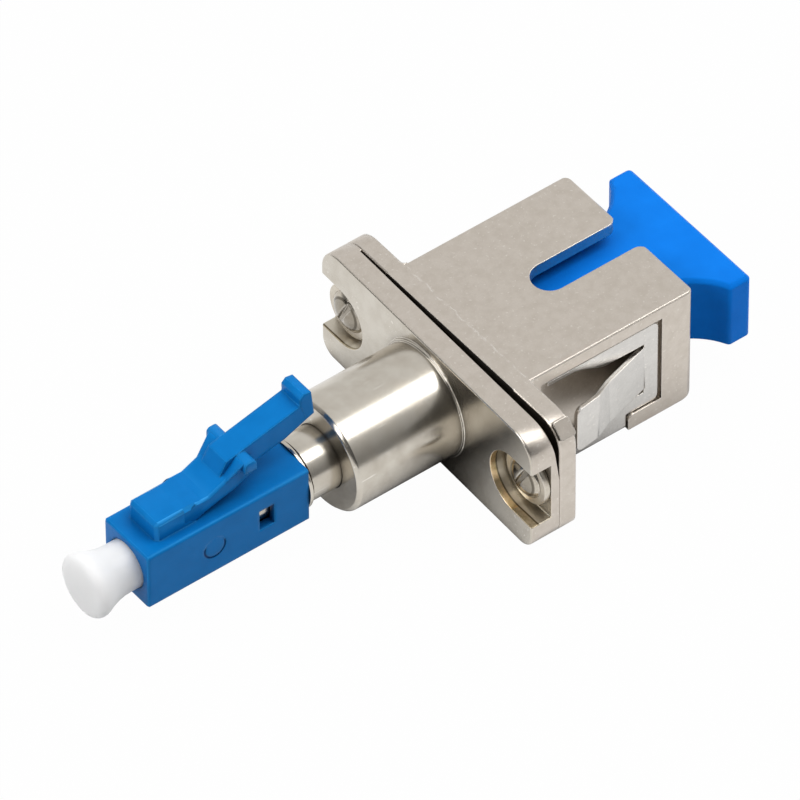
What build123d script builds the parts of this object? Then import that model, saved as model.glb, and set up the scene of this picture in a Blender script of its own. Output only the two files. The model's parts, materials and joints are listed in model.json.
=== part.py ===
from build123d import *
import os
from math import cos, pi

# Power meter fibre adapter. A two-part plated metal shell with a panel flange carries a square
# connector port at the rear and a small latched plug on a round barrel at the front.
# Millimetres. X is the optical axis and points out of the rear port, Y runs along the flange and
# Z is up. The origin is on the optical axis, at the rear face of the flange.

# Clearances between pieces
fit_gap = 0.02
seat_gap = 0.05
slide_gap = 0.1

# How far a cut runs past the surface that it opens
overcut = 1.0

# Flange and rear shell
flange_length = 22.0
flange_height = 9.3
rear_plate = 1.25
top_corner = 1.9
foot_corner = 1.2
pad_width = 1.3
pad_rise = 0.24
pad_inset = 0.08
pad_edge = 0.19
body_width = 12.8
body_length = 12.87
body_upright_edge = 0.45
body_heel = 0.9
body_edge = 0.1
plate_edge = 0.1
flange_root = 0.3
port_width = 9.1
port_height = 7.5
key_slot_width = 2.5
key_slot_length = 7.6
key_slot_lip = 0.7

# Front shell
front_plate = 1.7
front_skew = 0.5
parting_near = 0.6
parting_far = 0.12
parting_foot = 4.2
barrel_radius = 3.95
barrel_end = -11.4
barrel_chamfer = 0.25
barrel_ring = 0.15
barrel_ring_rise = 0.15
barrel_wall = 1.1
barrel_cavity = 3.0

# Ear screws
ear_inset = 2.0
ear_notch = 4.6
ear_floor = 0.65
ear_drop = 0.2
screw_shank = 1.0
screw_head = 1.5
screw_head_height = 0.6
screw_slot = 0.4
screw_slot_depth = 0.35
screw_turn = 25
washer_radius = 1.95
washer_thick = 0.45

# Panel clip
clip_thick = 0.3
clip_depth = 0.15
clip_front = 1.5
clip_end = 10.2
clip_top = 3.4
clip_foot = -3.35
clip_corner = 0.45
clip_bend_inside = 0.08
strip_tip = 0.3
strip_tip_length = 1.7
strip_rise = 3.4
recess_front = 0.9
recess_end = 10.4
recess_top = 3.65
recess_foot = -3.45
recess_corner = 0.45
strap_front = 0.6
strap_end = 7.7
wing_root = 9.1
wing_top = 1.75
wing_foot = -1.9
wing_corner = 0.5
wing_bend = 0.9
wing_bends = [(0.6, 0), (0, 0), (-3.6, 1.03), (-4.9, 1.59), (-6.7, 1.82)]
upper_slit = 0.3
lower_slit = 0.33

# Sleeve holder with its two hooks
holder_plate = 1.15
holder_rim = 0.5
holder_rim_height = 0.15
boss_radius = 2.3
boss_front = -6.9
boss_lip = 0.35
hook_thick = 0.5
hook_height = 3.2
hook_end = 7.4
hook_barb = 0.8

# Ferrules, split sleeve and fibre
large_ferrule = 1.25
large_ferrule_length = 7.3
sleeve_wall = 0.33
sleeve_length = 11.4
sleeve_slit = 0.35
sleeve_play = 0.4
stub_flange_length = 2.3
stub_seat = 1.55
stub_bore = 1.0
small_ferrule = 0.625
small_ferrule_reach = 1.9
small_ferrule_seat = 1.58
ferrule_chamfer = 0.15
fibre_radius = 0.45
fibre_entry = 0.2
ferrule_travel = 0.6

# Neck between the barrel and the small plug
neck_radius = 2.2
neck_front = -13.55
neck_collar = 0.65
neck_collar_length = 0.85
neck_socket = 1.9
neck_socket_length = 1.6
neck_bore = 0.9

# Small plug housing
plug_side = 4.45
plug_front = -26.3
plug_rear = -13.98
plug_edge = 0.22
plug_bore = 1.72
plug_bore_length = 3.3
plug_shoulder = 1.0
plug_shoulder_bore = 0.85
plug_chamber = 1.78
window_centre = -17.2
window_length = 1.15
window_height = 1.65
window_lift = 0.1
window_floor = 1.2
mark_centre = -21.2
mark_radius = 0.78
mark_line = 0.14
mark_depth = 0.06

# Retainer at the back of the plug
retainer_disc = 2.42
retainer_disc_length = 0.25
retainer_front = -18.6
retainer_radius = 1.73
retainer_wall = 0.35
retainer_floor = 0.7

# Ferrule holder and spring
collar_radius = 1.45
collar_length = 1.4
tail_radius = 0.75
tail_length = 3.6
spring_wire = 0.16
spring_turns = 5
spring_sides = 4

# Latch lever over the plug
root_length = 3.05
root_half = 1.45
root_top = 3.68
root_edge = 0.24
hinge_x = -22.0
hinge_z = 2.95
hinge_radius = 0.62
hinge_play = 0.04
hinge_seam = 0.25
lever_half = 0.93
lug_half = 2.0
lug_front = -18.6
lug_length = 0.85
lug_foot = 4.55
lug_top = 5.38
lip_half = 1.12
latch_edge = 0.15
arm_outline = [
    (hinge_x, 2.4), (-19.0, 3.2), (-17.4, 3.95), (-17.4, 4.65), (lug_front, 4.72), (-19.95, 4.16),
    (-21.0, root_top), (hinge_x, root_top)]
lip_outline = [(-13.3, 6.75), (-13.3, 7.1), (-13.0, 7.4), (-12.75, 7.3), (-12.55, 5.35), (-13.1, 5.15)]
lever_outline = [
    (-19.95, 4.0), (-19.25, 5.2), (-17.6, 5.58), (-13.62, 6.5), *lip_outline[:5],
    (-14.8, 4.42), (-16.8, 4.0), (-19.0, 3.3)]

# Small dust cap
cap_stem = 1.54
cap_stem_length = 2.7
cap_throat = 1.64
cap_head = 2.2
cap_reach = 3.5
cap_head_length = 0.75
cap_wall = 0.55
cap_edge = 0.25
cap_flare = 1.18

# Port dust cap
grip_half = 6.12
grip_height = 5.4
grip_end = 17.7
grip_thick = 1.7
grip_corner = 0.32
grip_edge = 0.26
insert_half = 3.65
insert_end = 3.0
insert_room = 0.9
flank_start = 13.5
flank_sag = 0.45

# Values worked out from the sizes above
flange_half = flange_length / 2
flange_top = flange_height / 2
body_half = body_width / 2
ear_y = flange_half - ear_inset
parting = -rear_plate
front_face = parting - front_plate
recess_half = body_half - clip_depth - clip_thick - seat_gap
clip_half = body_half - clip_depth
strap_foot = -flange_top
plug_half = plug_side / 2
cavity_front = barrel_end + barrel_wall
ear_seat = parting - ear_floor
pocket_half = port_width / 2 + holder_rim
pocket_top = port_height / 2 + holder_rim_height
sleeve_radius = large_ferrule + sleeve_wall
retainer_inside = retainer_radius - retainer_wall
plug_shoulder_end = plug_front + plug_bore_length + plug_shoulder
stub_back = boss_front - slide_gap
stub_front = stub_back - stub_seat + fit_gap
sleeve_front = stub_back + sleeve_play
sleeve_back = sleeve_front + sleeve_length
boss_end = sleeve_back + seat_gap + boss_lip
holder_front = plug_shoulder_end + fit_gap
holder_back = holder_front + collar_length
small_ferrule_tip = plug_front - small_ferrule_reach
small_ferrule_end = holder_front + small_ferrule_seat
root_front = hinge_x - root_length
cap_stem_end = plug_front + cap_stem_length
cap_bore_end = small_ferrule_tip - cap_wall
cap_front = plug_front - cap_reach


def block(x0, x1, y0, y1, z0, z1):
    """A square block between two corners."""
    size = Box(x1 - x0, y1 - y0, z1 - z0)
    return Pos((x0 + x1) / 2, (y0 + y1) / 2, (z0 + z1) / 2) * size


def area(x0, x1, y0, y1):
    """A flat rectangle between two corners."""
    return Pos((x0 + x1) / 2, (y0 + y1) / 2) * Rectangle(x1 - x0, y1 - y0)


def rod(x0, x1, radius, y=0, z=0):
    """A round rod along X."""
    upright = Cylinder(radius, x1 - x0, align=(Align.CENTER, Align.CENTER, Align.MIN))
    return Pos(x0, y, z) * Rot(0, 90, 0) * upright


def turned(points):
    """A turned piece: the outline is given as distance along X and radius."""
    return revolve(make_face(Polyline(*points, close=True)), Axis.X)


def side_cut(points, half):
    """An outline in X and Z, given an equal width to each side of the axis."""
    return extrude(Plane.XZ * make_face(Polyline(*points, close=True)), half, both=True)


def plate(x, thick):
    """The flange outline as an upright plate across X, with its rear face at x."""
    outline = Rectangle(flange_length, flange_height)
    outline = fillet(outline.vertices().sort_by(Axis.Y)[2:], top_corner)
    outline = fillet(outline.vertices().sort_by(Axis.Y)[:2], foot_corner)
    return extrude(Plane.YZ.offset(x) * outline, -thick)


def front_edges_broken(slab):
    """The plate with a small chamfer around its front face."""
    return chamfer(slab.faces().sort_by(Axis.X)[0].edges(), plate_edge)


def both_sides(piece):
    """The piece and its mirror image across the optical axis."""
    return piece + mirror(piece, Plane.XZ)


def behind(origin, normal, reach=40):
    """A large block on the far side of a sloping plane."""
    slope = Plane(origin, z_dir=normal)
    return slope * Box(reach, reach, reach, align=(Align.CENTER, Align.CENTER, Align.MIN))


def port_recess(side):
    """The side recess that the clip lies in, open below where the strap passes."""
    passage = strap_end + slide_gap
    outline = area(recess_front, recess_end, recess_foot, recess_top)
    outline += area(strap_front - slide_gap, passage, -flange_top - overcut, wing_foot)
    corner = outline.vertices().sort_by_distance((passage, recess_foot))[0]
    outline = fillet(corner, recess_corner)
    recess = extrude(Plane.XZ.offset(recess_half) * outline, body_half + overcut - recess_half)
    return recess if side < 0 else mirror(recess, Plane.XZ)


def key_slot():
    """The slot in the roof of the port, round at its inner end and flared at its mouth."""
    half = key_slot_width / 2
    inner = body_length - key_slot_length + half
    outline = area(inner, body_length + overcut, -half, half) + Pos(inner, 0) * Circle(half)
    lip = Pos(body_length, 0) * Rectangle(2 * key_slot_lip, key_slot_width + 2 * key_slot_lip)
    for side in (-1, 1):
        lip -= Pos(body_length - key_slot_lip, side * (half + key_slot_lip)) * Circle(key_slot_lip)
    return extrude(Plane.XY * (outline + lip), flange_top + overcut)


def corner_pad():
    """The small raised pad cast on one upper corner of the rear plate."""
    inset = top_corner * (1 - cos(pi / 4))
    pad = Box(rear_plate - pad_inset, pad_width, 2 * pad_rise)
    pad = fillet(pad.edges().filter_by(Axis.Z), pad_edge)
    return Pos(-(rear_plate - pad_inset) / 2, inset - flange_half, flange_top - inset) * Rot(45, 0, 0) * pad


def make_rear_shell():
    """Rear plate and square port body, cast in one."""
    side_view = area(-rear_plate, body_length, -flange_top, flange_top)
    side_view = fillet(side_view.vertices().sort_by(Axis.X)[2:].sort_by(Axis.Y)[:1], body_heel)
    plan_view = area(-rear_plate, body_length, -body_half, body_half)
    plan_view = fillet(plan_view.vertices().sort_by(Axis.X)[2:], body_upright_edge)
    body = extrude(Plane.XZ * side_view, body_half, both=True) & extrude(plan_view, flange_top, both=True)
    roof_edges = body.faces().sort_by(Axis.Z)[-1].edges()
    body = chamfer(roof_edges.filter_by(lambda e: e.center().X > 0), body_edge)
    shell = body + front_edges_broken(plate(0, rear_plate))
    for side in (-1, 1):
        low, high = sorted((side * body_half, side * (body_half + flange_root)))
        root = block(0, flange_root, low, high, -flange_top, flange_top)
        round_off = Pos(flange_root, side * (body_half + flange_root), 0)
        shell += root - round_off * Cylinder(flange_root, flange_height + overcut)
    shell += corner_pad()
    shell -= block(0, body_length + overcut, -port_width / 2, port_width / 2, -port_height / 2, port_height / 2)
    shell -= block(parting - overcut, 0, -pocket_half, pocket_half, -pocket_top, pocket_top)
    shell -= key_slot()
    for side in (-1, 1):
        shell -= port_recess(side)
        shell -= rod(parting - overcut, overcut, screw_shank, side * ear_y, -ear_drop)
    strap_room = block(
        strap_front - slide_gap, strap_end + slide_gap, -body_half - overcut, body_half + overcut,
        -flange_top - overcut, strap_foot + clip_thick + seat_gap)
    return shell - strap_room


def make_front_shell():
    """Front plate and round barrel, cast in one, with the parting gap and the ear notches."""
    middle_face = front_face - front_skew / 2
    shell = plate(parting, front_plate + front_skew)
    shell -= behind((middle_face, 0, 0), (-1, front_skew / flange_length, 0))
    shell = front_edges_broken(shell)
    ring_face = middle_face - barrel_ring
    shell += turned([
        (parting, 0), (parting, barrel_radius), (front_face, barrel_radius + barrel_ring_rise),
        (ring_face, barrel_radius + barrel_ring_rise), (ring_face, barrel_radius),
        (barrel_end + barrel_chamfer, barrel_radius), (barrel_end, barrel_radius - barrel_chamfer),
        (barrel_end, 0)])
    slope_z = parting_near / parting_foot
    slope_y = (parting_near - parting_far) / flange_length
    top_near = (parting - parting_near, -flange_half, flange_top)
    shell -= behind(top_near, (1, -slope_y, slope_z))
    shell -= rod(cavity_front, 0, barrel_cavity)
    shell -= rod(barrel_end - overcut, cavity_front + overcut, neck_radius + fit_gap)
    for side in (-1, 1):
        y = side * ear_y
        near, far = sorted((y, side * flange_length))
        low = -ear_drop - ear_notch / 2
        shell -= rod(front_face - overcut, ear_seat, ear_notch / 2, y, -ear_drop)
        shell -= block(front_face - overcut, ear_seat, near, far, low, low + ear_notch)
        shell -= rod(ear_seat - overcut, 0, screw_shank + slide_gap, y, -ear_drop)
    return shell


def make_ear_screw(side):
    """Domed slotted screw in the ear."""
    under = ear_seat - washer_thick - fit_gap
    shank = rod(under, -slide_gap, screw_shank - fit_gap, side * ear_y, -ear_drop)
    dome_radius = (screw_head ** 2 + screw_head_height ** 2) / (2 * screw_head_height)
    top = under - screw_head_height
    dome = Pos(top + dome_radius, side * ear_y, -ear_drop) * Sphere(dome_radius)
    head = rod(top - overcut, under, screw_head, side * ear_y, -ear_drop) & dome
    slot = Box(2 * screw_slot_depth, screw_slot, 3 * screw_head)
    slot = Pos(top, side * ear_y, -ear_drop) * Rot(screw_turn, 0, 0) * slot
    return shank + head - slot


def make_ear_washer(side):
    """Flat washer under the screw head."""
    back = ear_seat - fit_gap / 2
    ring = rod(back - washer_thick, back, washer_radius, side * ear_y, -ear_drop)
    return ring - rod(back - overcut, back + overcut, screw_shank + seat_gap, side * ear_y, -ear_drop)


def clip_wing():
    """The wing of the clip: it bends outwards from its root and flattens again towards its free end."""
    with BuildSketch() as section:
        with BuildLine():
            FilletPolyline(*wing_bends, radius=wing_bend)
            offset(amount=clip_thick, side=Side.RIGHT)
        make_face()
    wing = extrude(section.sketch, wing_top - wing_foot)
    free_end = wing.faces().sort_by(Axis.X)[0]
    ends = free_end.edges().filter_by(lambda e: abs(e.length - clip_thick) < fit_gap)
    return Pos(wing_root, clip_half - clip_thick, wing_foot) * fillet(ends, wing_corner)


def clip_side():
    """One side of the stamped clip: panel, upper strip and the wing bent outwards."""
    strip_low = wing_top + upper_slit
    strip_tail = clip_top - strip_tip
    panel_low = wing_foot - lower_slit
    tail = clip_front + strip_tip_length
    with BuildSketch(Plane.XZ) as face:
        with BuildLine():
            Polyline(
                (tail, strip_tail), (clip_front, strip_tail), (clip_front, clip_top), (clip_end, clip_top),
                (clip_end, clip_foot), (strap_front, clip_foot), (strap_front, panel_low),
                (wing_root, panel_low), (wing_root, strip_low), (tail + strip_rise, strip_low))
            Spline((tail + strip_rise, strip_low), (tail, strip_tail), tangents=[(-1, 0), (-1, 0)])
        make_face()
        fillet(face.vertices().filter_by(lambda v: abs(v.X - clip_end) < fit_gap), clip_corner)
    panel = Pos(0, clip_half - clip_thick, 0) * extrude(face.sketch, -clip_thick)
    return panel + clip_wing()


def make_panel_clip():
    """Spring clip under the body with a wing on each side, stamped from one sheet."""
    outer = area(-clip_half, clip_half, strap_foot, clip_foot)
    outer = fillet(outer.vertices().sort_by(Axis.Y)[:2], clip_bend_inside + clip_thick)
    inner = area(clip_thick - clip_half, clip_half - clip_thick, strap_foot + clip_thick, clip_foot)
    inner = fillet(inner.vertices().sort_by(Axis.Y)[:2], clip_bend_inside)
    trough = extrude(Plane.YZ.offset(strap_front) * (outer - inner), strap_end - strap_front)
    return trough + both_sides(clip_side())


def make_sleeve_holder():
    """Plastic holder clamped between the shells: plate, sleeve boss and two hooks."""
    y = pocket_half - seat_gap
    z = pocket_top - seat_gap
    holder = block(-seat_gap - holder_plate, -fit_gap, -y, y, -z, z)
    holder += rod(boss_front, boss_end, boss_radius)
    hook_out = port_width / 2 - slide_gap
    arm = block(-seat_gap, hook_end, hook_out - hook_thick, hook_out, -hook_height / 2, hook_height / 2)
    barb_in = insert_half + slide_gap
    barb = extrude(make_face(Polyline(
        (hook_end - hook_barb, hook_out - hook_thick), (hook_end - hook_barb, barb_in),
        (hook_end - hook_barb / 2, barb_in), (hook_end, hook_out - hook_thick), close=True)),
        hook_height / 2, both=True)
    holder += both_sides(arm + barb)
    holder -= rod(boss_front - overcut, boss_end - boss_lip, sleeve_radius + seat_gap)
    return holder - rod(boss_front - overcut, boss_end + overcut, large_ferrule + slide_gap)


def make_split_sleeve():
    """Ceramic sleeve with a slit along it, which lines the two ferrules up."""
    sleeve = rod(sleeve_front, sleeve_back, sleeve_radius)
    sleeve -= rod(sleeve_front - overcut, sleeve_back + overcut, large_ferrule + fit_gap)
    half = sleeve_slit / 2
    return sleeve - block(sleeve_front - overcut, sleeve_back + overcut, -half, half, 0, sleeve_radius + overcut)


def make_stub_flange():
    """Metal flange that holds the stub ferrule in the barrel."""
    front = stub_back - stub_flange_length
    flange = rod(front, stub_back, barrel_cavity - seat_gap)
    flange -= rod(stub_back - stub_seat, stub_back + overcut, large_ferrule + fit_gap)
    return flange - rod(front - overcut, stub_back, fibre_radius + slide_gap)


def make_stub_ferrule():
    """Ceramic stub ferrule that meets the plugged-in connector."""
    tip = stub_front + large_ferrule_length
    ferrule = turned([
        (stub_front, 0), (stub_front, large_ferrule), (tip - ferrule_chamfer, large_ferrule),
        (tip, large_ferrule - ferrule_chamfer), (tip, 0)])
    return ferrule - rod(stub_front - overcut, stub_front + stub_bore, fibre_radius + slide_gap)


def make_neck_tube():
    """Turned tube held by its collar behind the front wall of the barrel."""
    collar_front = cavity_front + fit_gap
    back = collar_front + neck_collar_length
    tube = turned([
        (neck_front, neck_bore), (neck_front, neck_radius), (collar_front, neck_radius),
        (collar_front, neck_radius + neck_collar), (back, neck_radius + neck_collar), (back, neck_bore)])
    return tube - rod(neck_front - overcut, neck_front + neck_socket_length, neck_socket)


def make_plug_housing():
    """Square plug housing with its bores, side windows, mould marks and the root of the latch."""
    plug = block(plug_front, plug_rear, -plug_half, plug_half, -plug_half, plug_half)
    plug = fillet(plug.edges().filter_by(Axis.X), plug_edge)
    plug = chamfer(plug.edges().filter_by(lambda e: e.center().X < plug_front + fit_gap), plug_edge / 2)
    root = block(root_front, hinge_x + hinge_seam, -root_half, root_half, 0, root_top)
    root_edges = root.edges().filter_by(lambda e: e.center().X < hinge_x and e.center().Z > root_top / 3)
    root = chamfer(root_edges, root_edge)
    root -= Pos(hinge_x, 0, hinge_z) * Rot(90, 0, 0) * Cylinder(hinge_radius + hinge_play, 3 * root_half)
    root -= block(
        hinge_x - hinge_play, hinge_x + overcut, -2 * root_half, 2 * root_half, plug_half, root_top + overcut)
    plug += root
    plug -= rod(plug_front - overcut, plug_front + plug_bore_length, plug_bore)
    plug -= rod(plug_front, plug_shoulder_end + overcut, plug_shoulder_bore)
    plug -= rod(plug_shoulder_end, plug_rear + overcut, plug_chamber)
    front = window_centre - window_length / 2
    foot = window_lift - window_height / 2
    for side in (-1, 1):
        low, high = sorted((side * (plug_half + overcut), side * window_floor))
        plug -= block(front, front + window_length, low, high, foot, foot + window_height)
        ring = Cylinder(mark_radius + mark_line / 2, 2 * mark_depth)
        ring -= Cylinder(mark_radius - mark_line / 2, overcut)
        plug -= Pos(mark_centre, side * plug_half, 0) * Rot(90, 0, 0) * ring
    return plug


def make_latch_lever():
    """Flexing arm of the latch: wide arm, raised lever, side lugs and thumb lip."""
    arm = side_cut(arm_outline, root_half)
    top_edges = arm.edges().filter_by(lambda e: e.center().Z > root_top - fit_gap)
    arm = chamfer(top_edges.filter_by(lambda e: abs(e.center().Y) > root_half - fit_gap), latch_edge)
    lever = side_cut(lever_outline, lever_half)
    lip = side_cut(lip_outline, lip_half)
    lugs = block(lug_front, lug_front + lug_length, -lug_half, lug_half, lug_foot, lug_top)
    lugs = fillet(lugs.edges().filter_by(Axis.Y).sort_by(Axis.Z)[2:], 2 * latch_edge)
    root = Pos(hinge_x, 0, hinge_z) * Rot(90, 0, 0) * Cylinder(hinge_radius, 2 * root_half)
    return arm + lever + lip + lugs + root


def make_retainer():
    """Turned retainer pressed into the back of the plug; its disc stands behind the housing."""
    disc_back = plug_rear + fit_gap + retainer_disc_length
    spigot_end = neck_front + neck_socket_length - slide_gap
    return turned([
        (retainer_front, retainer_inside), (retainer_front, retainer_radius), (plug_rear + fit_gap, retainer_radius),
        (plug_rear + fit_gap, retainer_disc), (disc_back, retainer_disc), (disc_back, neck_socket - fit_gap),
        (spigot_end, neck_socket - fit_gap), (spigot_end, neck_bore), (plug_rear - retainer_floor, neck_bore),
        (plug_rear - retainer_floor, retainer_inside)])


def make_ferrule_holder():
    """Metal collar and tail that carry the small ferrule."""
    tail_end = holder_back + tail_length
    holder = turned([
        (holder_front, 0), (holder_front, collar_radius), (holder_back, collar_radius), (holder_back, tail_radius),
        (tail_end, tail_radius), (tail_end, 0)])
    holder -= rod(holder_front - overcut, small_ferrule_end, small_ferrule + fit_gap)
    return holder - rod(holder_front, tail_end + overcut, fibre_radius + fit_gap)


def make_small_ferrule():
    """Ceramic ferrule of the small plug."""
    end = small_ferrule_end - fit_gap
    tip = small_ferrule_tip
    return turned([
        (tip, 0), (tip, small_ferrule - ferrule_chamfer), (tip + ferrule_chamfer, small_ferrule),
        (end, small_ferrule), (end, 0)])


def make_spring():
    """Compression spring behind the ferrule holder."""
    start = holder_back + spring_wire + fit_gap
    end = plug_rear - retainer_floor - spring_wire - fit_gap
    coil = Helix((end - start) / spring_turns, end - start, (tail_radius + retainer_inside) / 2)
    wire = Plane(coil @ 0, z_dir=coil % 0) * RegularPolygon(spring_wire, spring_sides)
    return Pos(start, 0, 0) * Rot(0, 90, 0) * sweep(wire, coil, is_frenet=True)


def make_fibre():
    """Buffered fibre from the small ferrule to the stub ferrule."""
    return rod(small_ferrule_end + fit_gap, stub_front + fibre_entry - ferrule_travel, fibre_radius)


def make_small_cap():
    """Soft dust cap over the small ferrule, with a flared head to pull it by."""
    neck = cap_front + cap_head_length
    inside = small_ferrule + seat_gap
    return turned([
        (cap_bore_end, 0), (cap_bore_end, inside), (cap_stem_end, inside), (cap_stem_end, cap_stem),
        (neck + cap_flare, cap_stem), (neck + cap_flare / 2, cap_throat), (neck, cap_head),
        (cap_front + cap_edge, cap_head), (cap_front, cap_head - cap_edge), (cap_front, 0)])


def make_port_cap():
    """Dust cap of the port: T-shaped grip with a plain insert bored for the boss."""
    start = grip_end - grip_thick
    middle = ((flank_start + start) / 2, (insert_half + grip_half) / 2 - flank_sag)
    with BuildSketch() as outline:
        with BuildLine():
            Polyline((insert_end, 0), (insert_end, insert_half), (flank_start, insert_half))
            ThreePointArc((flank_start, insert_half), middle, (start, grip_half))
            Polyline((start, grip_half), (grip_end, grip_half), (grip_end, 0))
            mirror(about=Plane.XZ)
        make_face()
    cap = extrude(outline.sketch, grip_height / 2, both=True)
    cap = fillet(cap.edges().filter_by(Axis.Z).filter_by(lambda e: e.center().X > start - fit_gap), grip_corner)
    rims = cap.edges().filter_by(lambda e: abs(e.center().Z) > grip_height / 2 - fit_gap)
    cap = chamfer(rims.filter_by(lambda e: e.center().X > flank_start), grip_edge)
    return cap - rod(insert_end - overcut, boss_end + insert_room, boss_radius + 2 * slide_gap)


pieces = {
    "rear_shell": make_rear_shell(),
    "front_shell": make_front_shell(),
    "panel_clip": make_panel_clip(),
    "ear_screw_left": make_ear_screw(-1),
    "ear_screw_right": make_ear_screw(1),
    "ear_washer_left": make_ear_washer(-1),
    "ear_washer_right": make_ear_washer(1),
    "sleeve_holder": make_sleeve_holder(),
    "split_sleeve": make_split_sleeve(),
    "stub_flange": make_stub_flange(),
    "stub_ferrule": make_stub_ferrule(),
    "neck_tube": make_neck_tube(),
    "plug_housing": make_plug_housing(),
    "plug_retainer": make_retainer(),
    "ferrule_holder": make_ferrule_holder(),
    "plug_ferrule": make_small_ferrule(),
    "ferrule_spring": make_spring(),
    "fibre": make_fibre(),
    "latch_lever": make_latch_lever(),
    "plug_dust_cap": make_small_cap(),
    "port_dust_cap": make_port_cap(),
}

os.makedirs("parts", exist_ok=True)
for name, piece in pieces.items():
    export_step(piece, "parts/" + name + ".step")
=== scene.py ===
import json
import math

import bpy
from mathutils import Matrix, Vector


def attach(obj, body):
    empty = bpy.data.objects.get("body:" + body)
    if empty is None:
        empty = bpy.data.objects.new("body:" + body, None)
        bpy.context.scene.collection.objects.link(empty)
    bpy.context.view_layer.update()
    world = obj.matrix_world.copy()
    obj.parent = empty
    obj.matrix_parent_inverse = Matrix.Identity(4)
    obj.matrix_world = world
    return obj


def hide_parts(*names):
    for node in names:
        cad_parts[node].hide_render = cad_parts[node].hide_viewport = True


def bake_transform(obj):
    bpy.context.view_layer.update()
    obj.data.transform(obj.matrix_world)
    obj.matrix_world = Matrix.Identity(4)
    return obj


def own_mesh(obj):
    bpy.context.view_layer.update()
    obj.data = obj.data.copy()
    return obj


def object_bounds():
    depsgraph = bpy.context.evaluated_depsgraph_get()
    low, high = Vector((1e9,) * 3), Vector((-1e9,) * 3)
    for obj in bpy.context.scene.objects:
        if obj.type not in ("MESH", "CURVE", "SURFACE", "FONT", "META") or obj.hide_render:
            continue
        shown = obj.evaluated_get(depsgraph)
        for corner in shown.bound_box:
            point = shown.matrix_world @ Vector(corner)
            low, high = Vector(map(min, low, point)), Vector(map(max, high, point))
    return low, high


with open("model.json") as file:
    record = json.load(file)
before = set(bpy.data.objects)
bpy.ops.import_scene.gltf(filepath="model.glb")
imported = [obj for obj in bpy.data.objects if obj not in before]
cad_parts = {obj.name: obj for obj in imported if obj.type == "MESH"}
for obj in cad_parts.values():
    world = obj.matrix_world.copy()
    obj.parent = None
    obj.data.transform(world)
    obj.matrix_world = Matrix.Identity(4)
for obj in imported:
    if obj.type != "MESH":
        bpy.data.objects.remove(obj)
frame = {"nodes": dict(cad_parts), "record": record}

# Fibre adapter with both dust caps on. Metres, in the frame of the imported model:
# x runs along the optical axis, y along the flange, z up.

cadLow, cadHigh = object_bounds()
nodes = frame["nodes"]
mm = 0.001
print("frame loaded:", len(nodes), "nodes")


# Materials: small helpers around the node tree

def newMaterial(name):
    material = bpy.data.materials.new(name)
    material.use_nodes = True
    tree = material.node_tree
    tree.nodes.clear()
    output = tree.nodes.new("ShaderNodeOutputMaterial")
    shader = tree.nodes.new("ShaderNodeBsdfPrincipled")
    tree.links.new(shader.outputs["BSDF"], output.inputs["Surface"])
    return material, tree, shader


def place(tree, stretch=(1, 1, 1), turn=(0, 0, 0)):
    coordinates = tree.nodes.new("ShaderNodeTexCoord")
    mapping = tree.nodes.new("ShaderNodeMapping")
    mapping.inputs["Scale"].default_value = stretch
    mapping.inputs["Rotation"].default_value = turn
    tree.links.new(coordinates.outputs["Object"], mapping.inputs["Vector"])
    return mapping.outputs["Vector"]


def noise(tree, size, detail=2.0, stretch=(1, 1, 1), turn=(0, 0, 0), roughness=0.5):
    texture = tree.nodes.new("ShaderNodeTexNoise")
    texture.inputs["Scale"].default_value = 1 / size
    texture.inputs["Detail"].default_value = detail
    texture.inputs["Roughness"].default_value = roughness
    tree.links.new(place(tree, stretch, turn), texture.inputs["Vector"])
    return texture.outputs["Fac"]


def remap(tree, value, low, high, newLow=0.0, newHigh=1.0):
    node = tree.nodes.new("ShaderNodeMapRange")
    node.inputs["From Min"].default_value = low
    node.inputs["From Max"].default_value = high
    node.inputs["To Min"].default_value = newLow
    node.inputs["To Max"].default_value = newHigh
    tree.links.new(value, node.inputs["Value"])
    return node.outputs["Result"]


def sums(tree, kind, first, second):
    node = tree.nodes.new("ShaderNodeMath")
    node.operation = kind
    for socket, value in zip(node.inputs, (first, second)):
        if isinstance(value, (int, float)):
            socket.default_value = value
        else:
            tree.links.new(value, socket)
    return node.outputs["Value"]


def mixColour(tree, factor, first, second):
    node = tree.nodes.new("ShaderNodeMix")
    node.data_type = "RGBA"
    tree.links.new(factor, node.inputs["Factor"])
    for name, colour in (("A", first), ("B", second)):
        socket = [s for s in node.inputs if s.name == name and s.type == "RGBA"][0]
        if isinstance(colour, tuple):
            socket.default_value = (*colour, 1)
        else:
            tree.links.new(colour, socket)
    return [s for s in node.outputs if s.type == "RGBA"][0]


# Most of a noise texture's values lie in this span, and a plastic's clouds are so many grains wide
noiseSpan = (0.3, 0.7)
cloudPerGrain = 14

# How edges and crevices are found, for the edge masks and the painted crevice shade: the samples that look
# round each point, then the limits of each mask
edgeLook = {"samples": 6, "flat": 0.995, "full": 0.86}
ridgeHighlightLook = {"tilt": 0.6, "half": 0.06, "blur": 0.22, "amount": 0.42}
creviceShadeLook = {"samples": 6, "open": 0.85, "closed": 0.3}


def roundedNormal(tree, radius):
    rounded = tree.nodes.new("ShaderNodeBevel")
    rounded.samples = edgeLook["samples"]
    rounded.inputs["Radius"].default_value = radius
    return rounded


# One where the surface turns within the radius, none where it is flat
def edgeMask(tree, radius):
    rounded = roundedNormal(tree, radius)
    geometry = tree.nodes.new("ShaderNodeNewGeometry")
    compare = tree.nodes.new("ShaderNodeVectorMath")
    compare.operation = "DOT_PRODUCT"
    tree.links.new(rounded.outputs["Normal"], compare.inputs[0])
    tree.links.new(geometry.outputs["True Normal"], compare.inputs[1])
    return remap(tree, compare.outputs["Value"], edgeLook["flat"], edgeLook["full"])
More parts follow.
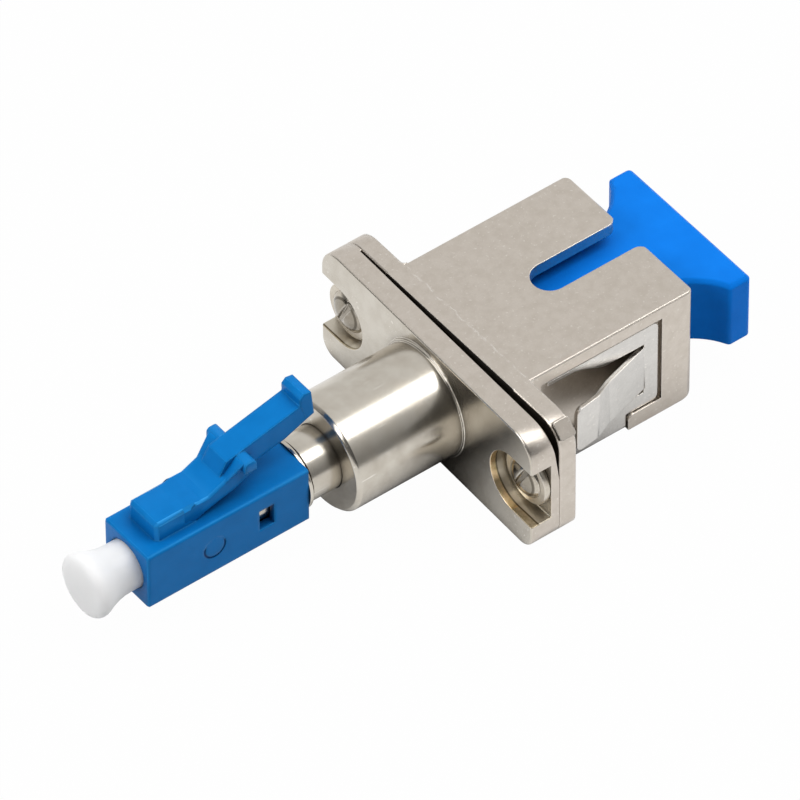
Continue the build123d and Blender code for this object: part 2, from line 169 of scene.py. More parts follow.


# Painted highlight: pale lines where a side face turns into the top or the underside, standing in for the
# light caught on rounded edges
def ridgeHighlightMask(tree, radius):
    normal = roundedNormal(tree, radius) if radius else tree.nodes.new("ShaderNodeNewGeometry")
    split = tree.nodes.new("ShaderNodeSeparateXYZ")
    tree.links.new(normal.outputs["Normal"], split.inputs["Vector"])
    sideways = sums(tree, "ABSOLUTE", split.outputs["Y"], 0)
    line = band(tree, sideways, ridgeHighlightLook["tilt"], ridgeHighlightLook["half"], ridgeHighlightLook["blur"])
    return sums(tree, "MULTIPLY", line, ridgeHighlightLook["amount"])


# Painted shade: the colour darkens towards a dark shade colour where ambient occlusion finds surfaces close
# by, in creases, under parts and between them
def paintCreviceShade(tree, colour, values):
    shade = tree.nodes.new("ShaderNodeAmbientOcclusion")
    shade.samples = creviceShadeLook["samples"]
    shade.inputs["Distance"].default_value = values["reach"]
    deep = remap(tree, shade.outputs["AO"], creviceShadeLook["open"], creviceShadeLook["closed"], 0, values["amount"])
    return mixColour(tree, deep, colour, values["colour"])


def addBump(tree, shader, height, depth, soft=0):
    bump = tree.nodes.new("ShaderNodeBump")
    bump.inputs["Distance"].default_value = depth
    bump.inputs["Strength"].default_value = 1
    tree.links.new(height, bump.inputs["Height"])
    if soft:
        tree.links.new(roundedNormal(tree, soft).outputs["Normal"], bump.inputs["Normal"])
    tree.links.new(bump.outputs["Normal"], shader.inputs["Normal"])


def axes(tree):
    split = tree.nodes.new("ShaderNodeSeparateXYZ")
    tree.links.new(place(tree), split.inputs["Vector"])
    return split.outputs["X"], split.outputs["Y"], split.outputs["Z"]


def distance(tree, first, second):
    square = sums(tree, "ADD", sums(tree, "MULTIPLY", first, first), sums(tree, "MULTIPLY", second, second))
    return sums(tree, "SQRT", square, 0)


def band(tree, value, centre, half, blur):
    away = sums(tree, "ABSOLUTE", sums(tree, "SUBTRACT", value, centre), 0)
    return remap(tree, away, half + blur, half)


# Cast metal. Four numbers, as in "pits", turn a value between the first and the second into a strength
# between the third and the fourth. Two numbers give a strength from none to full
# The pale worn colour marks worn edges and also stands in for the highlight along them, a painted highlight
castMetal = {
    "colour": (0.63, 0.572, 0.507), "dark": (0.575, 0.518, 0.452), "wearAndHighlight": (0.84, 0.80, 0.74),
    "roughness": (0.28, 0.38), "grain": 0.11 * mm, "mottle": 0.7 * mm, "depth": 0.012 * mm, "edgeRadius": 0.09 * mm,
    "blotches": (0.4, 0.65), "pits": (0.54, 0.68, 0, 0.7), "fleck": 0.187 * mm,
    "flecks": (0.64, 0.72, 0, 0.5), "rubbed": (0.35, 0.6, 0.4, 1.0), "polish": (0, 1, 1.0, 0.5)}


# Painted shade on the screw heads: a dark line where a groove would be, and the head inside it darker
def screwGrooveShade(tree, values):
    _, y, z = axes(tree)
    side = sums(tree, "SUBTRACT", sums(tree, "ABSOLUTE", y, 0), values["side"])
    radius = distance(tree, side, sums(tree, "SUBTRACT", z, values["drop"]))
    groove = band(tree, radius, values["groove"], values["half"], values["blur"])
    inner = remap(tree, radius, values["groove"], values["groove"] - values["fade"], 0, values["inner"])
    return sums(tree, "MAXIMUM", groove, inner)


def innerWall(tree, colour, values):
    x = axes(tree)[0]
    edge = values["x"]
    colour = mixColour(tree, remap(tree, x, edge, edge + values["blur"]), colour, values["colour"])
    return mixColour(tree, band(tree, x, edge, values["line"], values["blur"]), colour, values["lineColour"])


def makeCastMetal(name, values):
    material, tree, shader = newMaterial(name)
    shader.inputs["Metallic"].default_value = 1
    mottle = noise(tree, values["mottle"], 4, roughness=0.65)
    grain = noise(tree, values["grain"], 3, roughness=0.7)
    colour = mixColour(tree, remap(tree, mottle, *values["blotches"]), values["colour"], values["dark"])
    colour = mixColour(tree, remap(tree, grain, *values["pits"]), colour, values["dark"])
    flecks = remap(tree, noise(tree, values["fleck"], 2), *values["flecks"])
    colour = mixColour(tree, flecks, colour, values["wearAndHighlight"])
    # Painted shade of a groove on the screw heads
    if "grooveShade" in values:
        grooveShade = screwGrooveShade(tree, values["grooveShade"])
        colour = mixColour(tree, grooveShade, colour, values["grooveShade"]["colour"])
    if "inner" in values:
        colour = innerWall(tree, colour, values["inner"])
    # Worn edges, paler and smoother; their pale colour is partly painted highlight
    wearAndHighlight = sums(tree, "MULTIPLY", edgeMask(tree, values["edgeRadius"]), remap(tree, mottle, *values["rubbed"]))
    if "seam" in values:
        wearAndHighlight = sums(tree, "MAXIMUM", wearAndHighlight, seamLine(tree, values["seam"]))
    colour = mixColour(tree, wearAndHighlight, colour, values["wearAndHighlight"])
    tree.links.new(colour, shader.inputs["Base Color"])
    brassInShade = remap(tree, grain, *noiseSpan, *values["roughness"])
    smooth = remap(tree, wearAndHighlight, *values["polish"])
    tree.links.new(sums(tree, "MULTIPLY", brassInShade, smooth), shader.inputs["Roughness"])
    addBump(tree, shader, sums(tree, "ADD", grain, mottle), values["depth"], soft=values["edgeRadius"])
    return material


# The mould's parting line crosses the top where the body meets the flange
seam = {
    "x": 0.0, "half": 0.035 * mm, "blur": 0.03 * mm, "waver": 0.12 * mm, "above": 4.6 * mm, "wave": 0.8 * mm,
    "gap": 0.5 * mm, "gaps": (0.42, 0.55, 0.05, 0.5)}


def seamLine(tree, values):
    x, _, z = axes(tree)
    waver = remap(tree, noise(tree, values["wave"], 3), *noiseSpan, -values["waver"], values["waver"])
    line = band(tree, sums(tree, "ADD", x, waver), values["x"], values["half"], values["blur"])
    gaps = remap(tree, noise(tree, values["gap"], 2), *values["gaps"])
    line = sums(tree, "MULTIPLY", line, gaps)
    return sums(tree, "MULTIPLY", line, sums(tree, "GREATER_THAN", z, values["above"]))


turnedMetal = {
    "colour": (0.62, 0.58, 0.51), "dark": (0.53, 0.485, 0.415), "wearAndHighlight": (0.76, 0.72, 0.65),
    "roughness": (0.17, 0.27), "line": 0.05 * mm, "cloud": 1.3 * mm, "depth": 0.0016 * mm, "edgeRadius": 0.07 * mm,
    "turning": (1, 0.02, 0.02), "clouds": (0.35, 0.75),
    "creviceShade": {"reach": 0.9 * mm, "amount": 0.85, "colour": (0.10, 0.085, 0.07)},
    "scratch": {"size": 0.2 * mm, "patch": 2.8 * mm, "turn": (0.9, 0.1, 1.2), "draw": (0.04, 1, 1),
                "keep": (0.68, 0.71), "patchKeep": (0.5, 0.6)}}


def scratches(tree, values):
    line = noise(tree, values["size"], 1.0, values["draw"], values["turn"])
    where = noise(tree, values["patch"], 1.0)
    return sums(
        tree, "MULTIPLY", remap(tree, line, *values["keep"]), remap(tree, where, *values["patchKeep"]))


def makeTurnedMetal(name, values):
    material, tree, shader = newMaterial(name)
    shader.inputs["Metallic"].default_value = 1
    lines = noise(tree, values["line"], 2, values["turning"])
    cloud = noise(tree, values["cloud"], 3)
    colour = mixColour(tree, remap(tree, cloud, *values["clouds"]), values["colour"], values["dark"])
    colour = mixColour(tree, scratches(tree, values["scratch"]), colour, values["wearAndHighlight"])
    # Painted shade where other surfaces are close by
    colour = paintCreviceShade(tree, colour, values["creviceShade"])
    # Edges take the pale worn colour, as wear and as painted highlight
    colour = mixColour(tree, edgeMask(tree, values["edgeRadius"]), colour, values["wearAndHighlight"])
    tree.links.new(colour, shader.inputs["Base Color"])
    tree.links.new(remap(tree, cloud, *noiseSpan, *values["roughness"]), shader.inputs["Roughness"])
    addBump(tree, shader, lines, values["depth"])
    return material


# The round mould mark on each side of the plug is worn away at its top, where its groove is filled in. Its
# groove is painted in shade, darker towards the bottom
mark = {
    "x": -21.2 * mm, "radius": 0.78 * mm, "half": 0.05 * mm, "blur": 0.07 * mm, "colour": (0.001, 0.05, 0.20),
    "fade": (0.45 * mm, 0.1 * mm), "amount": 0.85,
    "reach": 1.0 * mm, "filledFrom": 0.3 * mm, "floor": (2.1 * mm, 2.2 * mm), "side": 2.222 * mm}

plastic = {
    "plugBlue": {
        "colour": (0.003, 0.190, 0.56), "dark": (0.002, 0.170, 0.51), "pale": (0.035, 0.34, 0.80),
        "roughness": (0.30, 0.42), "grain": 0.09 * mm, "depth": 0.004 * mm, "gloss": 0.15,
        "sheen": (0.25, 0.60, 1.0), "soft": 0.30 * mm, "mark": mark, "wearAndHighlight": 0.06 * mm, "ridgeHighlight": 0.16 * mm,
        "creviceShade": {"reach": 2.4 * mm, "amount": 0.9, "colour": (0.001, 0.065, 0.24)}},
    "capBlue": {
        "colour": (0.005, 0.215, 0.84), "dark": (0.004, 0.195, 0.78), "pale": (0.006, 0.24, 0.90),
        "roughness": (0.38, 0.50), "grain": 0.12 * mm, "depth": 0.004 * mm, "gloss": 0.08,
        "sheen": (0.12, 0.5, 1.0), "soft": 0.22 * mm, "wearAndHighlight": 0.08 * mm,
        "creviceShade": {"reach": 1.8 * mm, "amount": 0.6, "colour": (0.002, 0.05, 0.26)}},
    "darkHolder": {
        "colour": (0.022, 0.023, 0.026), "dark": (0.015, 0.015, 0.017), "pale": (0.06, 0.06, 0.065),
        "roughness": (0.35, 0.5), "grain": 0.1 * mm, "depth": 0.004 * mm, "gloss": 0.4, "wearAndHighlight": 0.05 * mm},
    "fibreJacket": {
        "colour": (0.80, 0.78, 0.70), "dark": (0.74, 0.71, 0.62), "pale": (0.86, 0.85, 0.80),
        "roughness": (0.35, 0.5), "grain": 0.1 * mm, "depth": 0.002 * mm, "gloss": 0.4, "wearAndHighlight": 0.05 * mm},
    "ceramic": {
        "colour": (0.86, 0.85, 0.81), "dark": (0.82, 0.80, 0.75), "pale": (0.92, 0.92, 0.90),
        "roughness": (0.08, 0.14), "grain": 0.06 * mm, "depth": 0.0008 * mm, "gloss": 0.6, "wearAndHighlight": 0.05 * mm}}


# Painted shade in the mould mark's groove, fading out towards its top
def mouldMarkShade(tree, values):
    x, _, z = axes(tree)
    radius = distance(tree, sums(tree, "SUBTRACT", x, values["x"]), z)
    ring = band(tree, radius, values["radius"], values["half"], values["blur"])
    return sums(tree, "MULTIPLY", ring, remap(tree, z, *values["fade"], 0, values["amount"]))


def makePlastic(name, values):
    material, tree, shader = newMaterial(name)
    shader.inputs["Specular IOR Level"].default_value = values["gloss"]
    shader.inputs["Specular Tint"].default_value = (*values.get("sheen", (1, 1, 1)), 1)
    grain = noise(tree, values["grain"], 3)
    cloud = noise(tree, values["grain"] * cloudPerGrain, 2)
    colour = mixColour(tree, remap(tree, cloud, *noiseSpan), values["colour"], values["dark"])
    # Edges are paler, as wear and as painted highlight
    if values["wearAndHighlight"]:
        colour = mixColour(tree, edgeMask(tree, values["wearAndHighlight"]), colour, values["pale"])
    # Painted shade in creases, under parts and between them
    if "creviceShade" in values:
        colour = paintCreviceShade(tree, colour, values["creviceShade"])
    # Painted highlight along the edges between the sides and the top and underside
    if "ridgeHighlight" in values:
        colour = mixColour(tree, ridgeHighlightMask(tree, values["ridgeHighlight"]), colour, values["pale"])
    if "mark" in values:
        colour = mixColour(tree, mouldMarkShade(tree, values["mark"]), colour, values["mark"]["colour"])
    tree.links.new(colour, shader.inputs["Base Color"])
    tree.links.new(remap(tree, grain, *noiseSpan, *values["roughness"]), shader.inputs["Roughness"])
    addBump(tree, shader, grain, values["depth"], soft=values.get("soft", 0))
    return material


softWhite = {
    "colour": (0.96, 0.965, 0.97), "dark": (0.92, 0.93, 0.94), "roughness": (0.35, 0.45),
    "grain": 0.2 * mm, "cloud": 1.8 * mm, "depth": 0.002 * mm, "gloss": 0.4, "glow": 1.0, "reach": 1.5 * mm}


def makeSoftWhite(name, values):
    material, tree, shader = newMaterial(name)
    shader.inputs["Subsurface Weight"].default_value = values["glow"]
    shader.inputs["Subsurface Radius"].default_value = (1, 1, 1)
    shader.inputs["Subsurface Scale"].default_value = values["reach"]
    shader.inputs["Specular IOR Level"].default_value = values["gloss"]
    grain = noise(tree, values["grain"], 3)
    cloud = noise(tree, values["cloud"], 2)
    colour = mixColour(tree, remap(tree, cloud, *noiseSpan), values["colour"], values["dark"])
    tree.links.new(colour, shader.inputs["Base Color"])
    tree.links.new(remap(tree, grain, *noiseSpan, *values["roughness"]), shader.inputs["Roughness"])
    addBump(tree, shader, grain, values["depth"])
    return material


brightClip = dict(
    castMetal, colour=(0.67, 0.65, 0.62), dark=(0.63, 0.61, 0.58), roughness=(0.20, 0.28), depth=0.003 * mm)
headGrooveShade = {
    "side": 9.0 * mm, "drop": -0.2 * mm, "groove": 1.12 * mm, "half": 0.05 * mm, "blur": 0.08 * mm,
    "fade": 0.1 * mm, "inner": 0.55, "colour": (0.16, 0.14, 0.11)}
screwMetal = dict(
    castMetal, colour=(0.58, 0.53, 0.45), dark=(0.46, 0.41, 0.34), roughness=(0.14, 0.24), depth=0.004 * mm,
    grooveShade=headGrooveShade)
washerMetal = dict(
    castMetal, colour=(0.66, 0.61, 0.52), dark=(0.56, 0.50, 0.42), roughness=(0.30, 0.40), depth=0.004 * mm)
innerBand = {"x": -2.88 * mm, "blur": 0.05 * mm, "line": 0.03 * mm, "colour": (0.60, 0.55, 0.46),
             "lineColour": (0.12, 0.095, 0.06)}
brassWall = dict(
    castMetal, colour=(0.84, 0.60, 0.34), dark=(0.62, 0.46, 0.20), wearAndHighlight=(0.93, 0.82, 0.58),
    roughness=(0.30, 0.42), mottle=0.45 * mm, depth=0.008 * mm, inner=innerBand)

finishes = {
    "plated_casting": makeCastMetal("satinCasting", dict(castMetal, seam=seam)),
    "clip_steel": makeCastMetal("stampedSteel", brightClip),
    "plated_steel": makeCastMetal("platedScrew", screwMetal),
    "turned_metal": makeTurnedMetal("brightTurning", turnedMetal),
    "dark_plastic": makePlastic("holderPlastic", plastic["darkHolder"]),
    "ceramic": makePlastic("whiteCeramic", plastic["ceramic"]),
    "blue_plastic": makePlastic("plugPlastic", plastic["plugBlue"]),
    "spring_steel": makeTurnedMetal("springWire", turnedMetal),
    "fibre_jacket": makePlastic("fibreBuffer", plastic["fibreJacket"]),
    "soft_white_cap": makeSoftWhite("softCap", softWhite),
    "soft_blue_cap": makePlastic("portCapPlastic", plastic["capBlue"])}
# The skin over the latch's seam has the plug's colours, without the painted shade of its mark, without its
# pale edges and painted edge highlights, and without rounded normals
skinBlue = {key: value for key, value in plastic["plugBlue"].items() if key != "mark"}
skinPlastic = makePlastic("latchSkinPlastic", dict(skinBlue, soft=0, wearAndHighlight=0, ridgeHighlight=0))
brass = makeCastMetal("bareBrass", brassWall)
# A darker copy of the bare brass, painted in shade, for the far notch's walls and the floors under the lips
dullWall = makeCastMetal("dullWall", dict(brassWall, colour=(0.60, 0.51, 0.36), dark=(0.42, 0.34, 0.23)))
paleWasher = makeCastMetal("paleWasher", washerMetal)
polished = makeTurnedMetal("polishedCasting", turnedMetal)
print("materials made:", len(bpy.data.materials))


# Pieces: each shown node is copied, cleaned and given soft edges

slotOf = {s["node"]: s["material_slot"] for s in frame["record"]["subparts"]}
bodyOf = {n: body for body, names in frame["record"]["behaviour"]["bodies"].items() for n in names}


def deselectAll():
    if bpy.context.mode != "OBJECT":
        bpy.ops.object.mode_set(mode="OBJECT")
    bpy.ops.object.select_all(action="DESELECT")


def makeActive(piece):
    deselectAll()
    piece.select_set(True)
    bpy.context.view_layer.objects.active = piece


def applyAll(piece):
    makeActive(piece)
    for modifier in list(piece.modifiers):
        bpy.ops.object.modifier_apply(modifier=modifier.name)


# How copies are cleaned, and where the latch meets its root: no edge is rounded there
soften = {"merge": 0.002 * mm, "flat": math.radians(0.6), "sharp": math.radians(32), "segments": 2}
seamBox = {"x": (-22.75 * mm, -21.8 * mm), "z": 2.25 * mm}


def weighEdges(mesh):
    weights = mesh.attributes.new("bevel_weight_edge", "FLOAT", "EDGE")
    sides = {}
    for face in mesh.polygons:
        for key in face.edge_keys:
            sides.setdefault(key, []).append(face.normal.copy())
    for edge in mesh.edges:
        pair = sides.get(edge.key, [])
        ends = [mesh.vertices[index].co for index in edge.vertices]
        inSeam = any(seamBox["x"][0] < end.x < seamBox["x"][1] and end.z > seamBox["z"] for end in ends)
        if len(pair) == 2 and pair[0].angle(pair[1], 0) > soften["sharp"] and not inSeam:
            weights.data[edge.index].value = 1


def softCopy(name, newName, edge, reshape=None):
    piece = nodes[name].copy()
    piece.data = nodes[name].data.copy()
    piece.name = piece.data.name = newName
    piece.parent = None
    bpy.context.collection.objects.link(piece)
    piece.matrix_world = Matrix.Identity(4)
    makeActive(piece)
    bpy.ops.object.mode_set(mode="EDIT")
    bpy.ops.mesh.select_all(action="SELECT")
    bpy.ops.mesh.remove_doubles(threshold=soften["merge"])
    bpy.ops.mesh.dissolve_limited(angle_limit=soften["flat"])
    bpy.ops.object.mode_set(mode="OBJECT")
    if reshape:
        reshape(piece.data)
    bpy.ops.object.shade_smooth()
    if edge:
        weighEdges(piece.data)
        bevel = piece.modifiers.new("softEdges", "BEVEL")
        bevel.width = edge
        bevel.segments = soften["segments"]
        bevel.limit_method = "WEIGHT"
        bevel.miter_outer = "MITER_ARC"
        bevel.harden_normals = True
        weighted = piece.modifiers.new("flatFaces", "WEIGHTED_NORMAL")
        weighted.mode = "FACE_AREA"
        applyAll(piece)
    else:
        bpy.ops.object.shade_smooth_by_angle(angle=soften["sharp"])
    piece.data.materials.clear()
    piece.data.materials.append(finishes[slotOf[name]])
    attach(piece, bodyOf[name])
    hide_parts(name)
    return piece


# The solids that are shown as they are take their finishes too
for node in nodes.values():
    node.data.materials.clear()
    node.data.materials.append(finishes[slotOf[node.name]])


# The latch: its seam to the root is narrowed, and its thumb lip is thick and flush with the sides
latch = {
    "hinge": (-22.0 * mm, 2.95 * mm), "bore": 0.62 * mm, "grow": 0.03 * mm, "near": 0.01 * mm,
    "lip": (-13.4 * mm, -12.9 * mm), "lipHalf": 0.95 * mm, "lipThick": 0.30 * mm, "lipFoot": 6.6 * mm}


def reshapeLatch(mesh):
    hingeX, hingeZ = latch["hinge"]
    for vertex in mesh.vertices:
        x, y, z = vertex.co
        away = math.hypot(x - hingeX, z - hingeZ)
        if abs(away - latch["bore"]) < latch["near"] and x < hingeX + latch["near"]:
            more = (away + latch["grow"]) / away
            vertex.co.x = hingeX + (x - hingeX) * more
            vertex.co.z = hingeZ + (z - hingeZ) * more
        elif abs(x - hingeX) < latch["near"]:
            vertex.co.x -= latch["grow"]
        if x > latch["lip"][0] and abs(y) > latch["lipHalf"]:
            vertex.co.y = math.copysign(latch["lipHalf"], y)
        if latch["lip"][0] < x < latch["lip"][1] and z > latch["lipFoot"]:
            vertex.co.x -= latch["lipThick"]


# The round mould mark is filled where it has worn away
def reshapeHousing(mesh):
    for vertex in mesh.vertices:
        x, y, z = vertex.co
        away = math.hypot(x - mark["x"], z)
        sunk = mark["floor"][0] < abs(y) < mark["floor"][1]
        if away < mark["reach"] and z > mark["filledFrom"] and sunk:
            vertex.co.y = math.copysign(mark["side"], y)


# Webs that carry the lugs of the latch, each a block shaped to its outline in x and z
web = {
    "outline": {
        (-1, -1): (-19.95, 3.95), (-1, 1): (-18.62, 5.28), (1, 1): (-18.2, 5.28), (1, -1): (-17.9, 4.5)},
    "foot": (0.90, 1.44), "top": (0.90, 1.80), "edge": 0.09 * mm, "segments": 3, "sharp": math.radians(40)}


def makeWeb(newName, side, carrier):
    deselectAll()
    bpy.ops.mesh.primitive_cube_add(size=1)
    piece = bpy.context.active_object
    piece.name = piece.data.name = newName
    for vertex in piece.data.vertices:
        x, z = web["outline"][round(2 * vertex.co.x), round(2 * vertex.co.z)]
        inner, outer = web["top"] if vertex.co.z > 0 else web["foot"]
        vertex.co = (x * mm, side * (outer if vertex.co.y > 0 else inner) * mm, z * mm)
    makeActive(piece)
    bpy.ops.object.mode_set(mode="EDIT")
    bpy.ops.mesh.select_all(action="SELECT")
    bpy.ops.mesh.normals_make_consistent(inside=False)
    bpy.ops.object.mode_set(mode="OBJECT")
    bevel = piece.modifiers.new("softEdges", "BEVEL")
    bevel.width = web["edge"]
    bevel.segments = web["segments"]
    applyAll(piece)
    bpy.ops.object.shade_smooth_by_angle(angle=web["sharp"])
    piece.data.materials.append(finishes[slotOf[carrier]])
    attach(piece, bodyOf[carrier])


# The skin that joins the latch to its root: stations along x, each with its sink below the surface
saddle = {
    "stations": [
        (-23.0, 0.004), (-22.8, -0.003), (-22.4, -0.007), (-22.1, -0.009), (-21.9, -0.008), (-21.6, -0.003),
        (-21.4, 0.004)],
    "half": 1.45, "top": 3.68, "foot": 2.55, "footDrop": 0.12, "footIn": 0.05, "bevel": (0.24, 0.15),
    "bevelFrom": (-22.4, -21.8), "rows": 7, "thick": 0.12 * mm, "sharp": math.radians(40)}


def saddleProfile(x, sink):
    start, end = saddle["bevelFrom"]
    share = min(1, max(0, (x - start) / (end - start)))
    bevel = saddle["bevel"][0] + share * (saddle["bevel"][1] - saddle["bevel"][0])
    side = saddle["half"] - sink
    top = saddle["top"] - sink
    low = (side - saddle["footIn"], saddle["foot"] - saddle["footDrop"])
    return [low, (side, saddle["foot"]), (side, top - bevel), (side - bevel, top)]


def makeSaddle(newName):
    steps, rows = len(saddle["stations"]) - 1, saddle["rows"]
    deselectAll()
    bpy.ops.mesh.primitive_grid_add(x_subdivisions=steps, y_subdivisions=rows, size=1)
    piece = bpy.context.active_object
    piece.name = piece.data.name = newName
    for vertex in piece.data.vertices:
        x, sink = saddle["stations"][round((vertex.co.x + 0.5) * steps)]
        row = round((vertex.co.y + 0.5) * rows)
        y, z = saddleProfile(x, sink)[min(row, rows - row)]
        vertex.co = (x * mm, (y if row > rows / 2 else -y) * mm, z * mm)
    makeActive(piece)
    skin = piece.modifiers.new("skin", "SOLIDIFY")
    skin.thickness = saddle["thick"]
    applyAll(piece)
    bpy.ops.object.shade_smooth_by_angle(angle=saddle["sharp"])
    piece.data.materials.append(skinPlastic)
    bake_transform(piece)


softEdges = {
    "rear_shell": ("rearShellCasting", 0.06 * mm), "front_shell": ("frontShellCasting", 0.05 * mm),
    "panel_clip": ("panelClipStrip", 0.03 * mm), "plug_housing": ("plugHousingMoulding", 0.07 * mm),
    "latch_lever": ("latchMoulding", 0.13 * mm), "neck_tube": ("neckTurning", 0.04 * mm),
    "plug_retainer": ("retainerTurning", 0.03 * mm), "port_dust_cap": ("portCapMoulding", 0.09 * mm),
    "ear_screw_left": ("screwLeft", 0.04 * mm), "ear_screw_right": ("screwRight", 0.04 * mm),
    "ear_washer_left": ("washerLeft", 0.04 * mm), "ear_washer_right": ("washerRight", 0.04 * mm)}
changes = {"latch_lever": reshapeLatch, "plug_housing": reshapeHousing}
shown = {name: softCopy(name, *rest, reshape=changes.get(name)) for name, rest in softEdges.items()}
for name in ("ear_washer_left", "ear_washer_right"):
    shown[name].data.materials[0] = paleWasher

# The spring is shown as a copy with a mesh of its own; on the real part it closes up towards its fixed end as
# the ferrule floats back
spring = {"joint": "ferrule_float", "travel": 0.6 * mm, "node": "ferrule_spring"}
shown[spring["node"]] = softCopy(spring["node"], "springWire", 0)
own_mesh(shown[spring["node"]])
print("pieces made:", len(shown))


# Small dust cap, turned from its outline: distance along x and radius, in millimetres

capOutline = [
    (-28.75, 0.05), (-28.75, 0.675), (-23.6, 0.675), (-23.6, 1.60), (-23.68, 1.66), (-27.0, 1.66),
    (-27.4, 1.68), (-27.8, 1.74), (-28.2, 1.84), (-28.55, 1.97), (-28.85, 2.10), (-29.1, 2.18), (-29.35, 2.2),
    (-29.55, 2.15), (-29.70, 2.03), (-29.78, 1.85), (-29.8, 1.6), (-29.8, 0.05)]
turned = {"segments": 72, "sharp": math.radians(35)}


def turnedPiece(newName, outline, replaced):
    deselectAll()
    x, radius = outline[0]
    bpy.ops.mesh.primitive_circle_add(
        vertices=turned["segments"], radius=radius * mm, rotation=(0, math.pi / 2, 0))
    piece = bpy.context.active_object
    piece.name = piece.data.name = newName
    bpy.ops.object.transform_apply(rotation=True)
    bpy.ops.object.mode_set(mode="EDIT")
    bpy.ops.mesh.select_all(action="SELECT")
    bpy.ops.transform.translate(value=(x * mm, 0, 0))
    for (x, radius), (newX, newRadius) in zip(outline, outline[1:]):
        bpy.ops.mesh.extrude_region_move(TRANSFORM_OT_translate={"value": ((newX - x) * mm, 0, 0)})
        wider = newRadius / radius
        bpy.ops.transform.resize(value=(1, wider, wider), center_override=(newX * mm, 0, 0))
    bpy.ops.mesh.select_all(action="SELECT")
    bpy.ops.mesh.fill_holes(sides=0)
    bpy.ops.mesh.normals_make_consistent(inside=False)
    bpy.ops.object.mode_set(mode="OBJECT")
    bpy.ops.object.shade_smooth_by_angle(angle=turned["sharp"])
    piece.data.materials.append(finishes[slotOf[replaced]])
    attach(piece, bodyOf[replaced])
    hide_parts(replaced)


turnedPiece("plugCapMoulding", capOutline, "plug_dust_cap")
makeSaddle("latchSkin")
makeWeb("latchWebNear", -1, "latch_lever")
makeWeb("latchWebFar", 1, "latch_lever")


# Bare metal shows on the walls of the ear notches

earNotch = {
    "x": (-3.6 * mm, -1.75 * mm), "side": headGrooveShade["side"], "drop": headGrooveShade["drop"], "low": -2.5 * mm,
    "near": 0.1 * mm, "radius": (2.1 * mm, 2.45 * mm), "barrel": 4.2 * mm, "wallTilt": 0.7, "rimTilt": 0.6}


def paintFrontShell(piece):
    piece.data.materials.clear()
    finish = {"polished": polished, "brass": brass, "casting": finishes["plated_casting"], "brassInShade": dullWall}
    for material in finish.values():
        piece.data.materials.append(material)
    index = {name: number for number, name in enumerate(finish)}
    for face in piece.data.polygons:
        x, y, z = face.center
        away = math.hypot(abs(y) - earNotch["side"], z - earNotch["drop"])
        ring = earNotch["radius"][0] < away < earNotch["radius"][1]
        deep = earNotch["x"][0] < x < earNotch["x"][1]
        onWall = ring and deep and abs(face.normal.x) < earNotch["wallTilt"]
        level = abs(z - earNotch["low"]) < earNotch["near"]
        onFloor = level and abs(y) > earNotch["side"] and x < earNotch["x"][1]
        onRim = math.hypot(y, z) > earNotch["barrel"] and abs(face.normal.x) < earNotch["rimTilt"]
        # The near walls take the bare brass, the far walls and the floors its copy painted in shade
        if onWall:
            face.material_index = index["brass" if y < 0 else "brassInShade"]
        elif onFloor:
            face.material_index = index["brassInShade"]
        elif onRim:
            face.material_index = index["casting"]


paintFrontShell(shown["front_shell"])


# Floor, lights and world

studio = {
    "floor": (0.50, 0.50, 0.50), "floorShadowColour": (0.12, 0.12, 0.12), "floorSize": 1.6, "floorGap": 0.02 * mm,
    "floorRoughness": 0.9, "floorGloss": 0.1, "cameraWhite": 0.985, "mirrorWhite": 1.0, "nearby": 9 * mm,
    "nearbySamples": 8, "mirrorOpen": (0.25, 0.75), "shadeOpen": (0.2, 0.7), "keyFrom": (0.42, -0.30, 0.855),
    "keyAway": 0.5, "keySize": (0.48, 0.26), "keyPower": 1.2, "fillFrom": (-0.80, 0.10, 0.55),
    "fillSize": (0.3, 0.3), "fillPower": 1.15, "brightSide": (0.75, 0.5, 0.43), "turnsBright": (-0.45, 0.75),
    "low": 0.08, "high": 0.84}


def makeFloor():
    deselectAll()
    bpy.ops.mesh.primitive_grid_add(x_subdivisions=4, y_subdivisions=4, size=studio["floorSize"])
    floor = bpy.context.active_object
    floor.name = "studioFloor"
    floor.location = (0, 0, cadLow.z - studio["floorGap"])
    material, tree, shader = newMaterial("paleFloor")
    shader.inputs["Roughness"].default_value = studio["floorRoughness"]
    shader.inputs["Specular IOR Level"].default_value = studio["floorGloss"]
    white = tree.nodes.new("ShaderNodeEmission")
    white.inputs["Color"].default_value = (1, 1, 1, 1)
    mix = tree.nodes.new("ShaderNodeMixShader")
    path = tree.nodes.new("ShaderNodeLightPath")
    output = tree.nodes["Material Output"]
    shade = tree.nodes.new("ShaderNodeAmbientOcclusion")
    shade.samples = studio["nearbySamples"]
    shade.inputs["Distance"].default_value = studio["nearby"]
    openFloor = remap(tree, shade.outputs["AO"], *studio["mirrorOpen"], 0, studio["mirrorWhite"])
    # Painted shadow: the floor's colour darkens towards its shadow colour where ambient occlusion finds the
    # object close by
    shaded = remap(tree, shade.outputs["AO"], *studio["shadeOpen"])
    floorWithShadow = mixColour(tree, shaded, studio["floorShadowColour"], studio["floor"])
    tree.links.new(floorWithShadow, shader.inputs["Base Color"])
    seen = sums(tree, "MULTIPLY", path.outputs["Is Camera Ray"], studio["cameraWhite"])
    mirrored = sums(tree, "MAXIMUM", path.outputs["Is Glossy Ray"], path.outputs["Is Transmission Ray"])
    mirrored = sums(tree, "MULTIPLY", mirrored, openFloor)
    tree.links.new(sums(tree, "MAXIMUM", seen, mirrored), mix.inputs["Fac"])
    tree.links.new(shader.outputs["BSDF"], mix.inputs[1])
    tree.links.new(white.outputs["Emission"], mix.inputs[2])
    tree.links.new(mix.outputs["Shader"], output.inputs["Surface"])
    floor.data.materials.append(material)


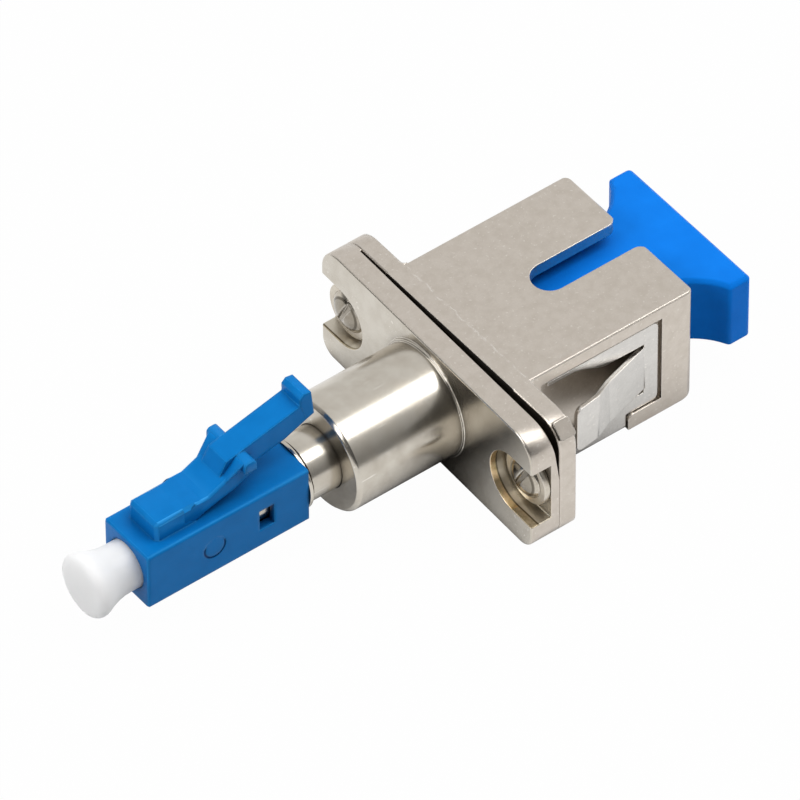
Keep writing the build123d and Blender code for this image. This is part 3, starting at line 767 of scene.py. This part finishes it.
def makeLamp(name, toward, away, size, power, facing=False):
    light = bpy.data.lights.new(name, "AREA")
    light.shape = "RECTANGLE"
    light.size, light.size_y = size
    light.energy = power
    lamp = bpy.data.objects.new(name, light)
    bpy.context.collection.objects.link(lamp)
    lamp.location = Vector(toward).normalized() * away
    if facing:
        lamp.rotation_euler = (-lamp.location).to_track_quat("-Z", "Y").to_euler()
    else:  # tilted about x alone, so that its long side stays in line with the part
        lamp.rotation_euler = (math.atan2(-lamp.location.y, lamp.location.z), 0, 0)


def makeWorld():
    world = bpy.data.worlds.new("studioWorld")
    bpy.context.scene.world = world
    world.use_nodes = True
    tree = world.node_tree
    tree.nodes.clear()
    output = tree.nodes.new("ShaderNodeOutputWorld")
    light = tree.nodes.new("ShaderNodeBackground")
    light.inputs["Color"].default_value = (1, 1, 1, 1)
    direction = tree.nodes.new("ShaderNodeTexCoord")
    compare = tree.nodes.new("ShaderNodeVectorMath")
    compare.operation = "DOT_PRODUCT"
    compare.inputs[1].default_value = Vector(studio["brightSide"]).normalized()
    tree.links.new(direction.outputs["Generated"], compare.inputs[0])
    toward = compare.outputs["Value"]
    strength = remap(tree, toward, *studio["turnsBright"], studio["low"], studio["high"])
    strength.node.interpolation_type = "SMOOTHSTEP"
    tree.links.new(strength, light.inputs["Strength"])
    tree.links.new(light.outputs["Background"], output.inputs["Surface"])


makeFloor()
makeWorld()
makeLamp("keyLight", studio["keyFrom"], studio["keyAway"], studio["keySize"], studio["keyPower"])
makeLamp(
    "fillLight", studio["fillFrom"], studio["keyAway"], studio["fillSize"], studio["fillPower"], facing=True)
print("floor, world and lamps made")


# Camera at the photograph's angle

cameraView = {
    "azimuth": -37.2175, "elevation": 45.8991, "roll": -0.3897, "distance": 0.77949,
    "target": (-0.007194, -0.002628, 0.004445), "lens": 570.6, "sensor": 36, "clip": (0.01, 10)}


def makeCamera():
    around, above, roll = (math.radians(cameraView[name]) for name in ("azimuth", "elevation", "roll"))
    level = math.cos(above)
    back = Vector((math.sin(around) * level, -math.cos(around) * level, math.sin(above)))
    right = Vector((math.cos(around), math.sin(around), 0))
    up = back.cross(right)
    turnedRight = math.cos(roll) * right + math.sin(roll) * up
    turnedUp = back.cross(turnedRight)
    data = bpy.data.cameras.new("photoCamera")
    data.lens = cameraView["lens"]
    data.sensor_width = cameraView["sensor"]
    data.clip_start, data.clip_end = cameraView["clip"]
    camera = bpy.data.objects.new("photoCamera", data)
    bpy.context.collection.objects.link(camera)
    turn = Matrix((turnedRight, turnedUp, back)).transposed()
    spot = Vector(cameraView["target"]) + back * cameraView["distance"]
    camera.matrix_world = Matrix.Translation(spot) @ turn.to_4x4()
    bpy.context.scene.camera = camera


makeCamera()
bpy.context.scene.view_settings.view_transform = "Standard"
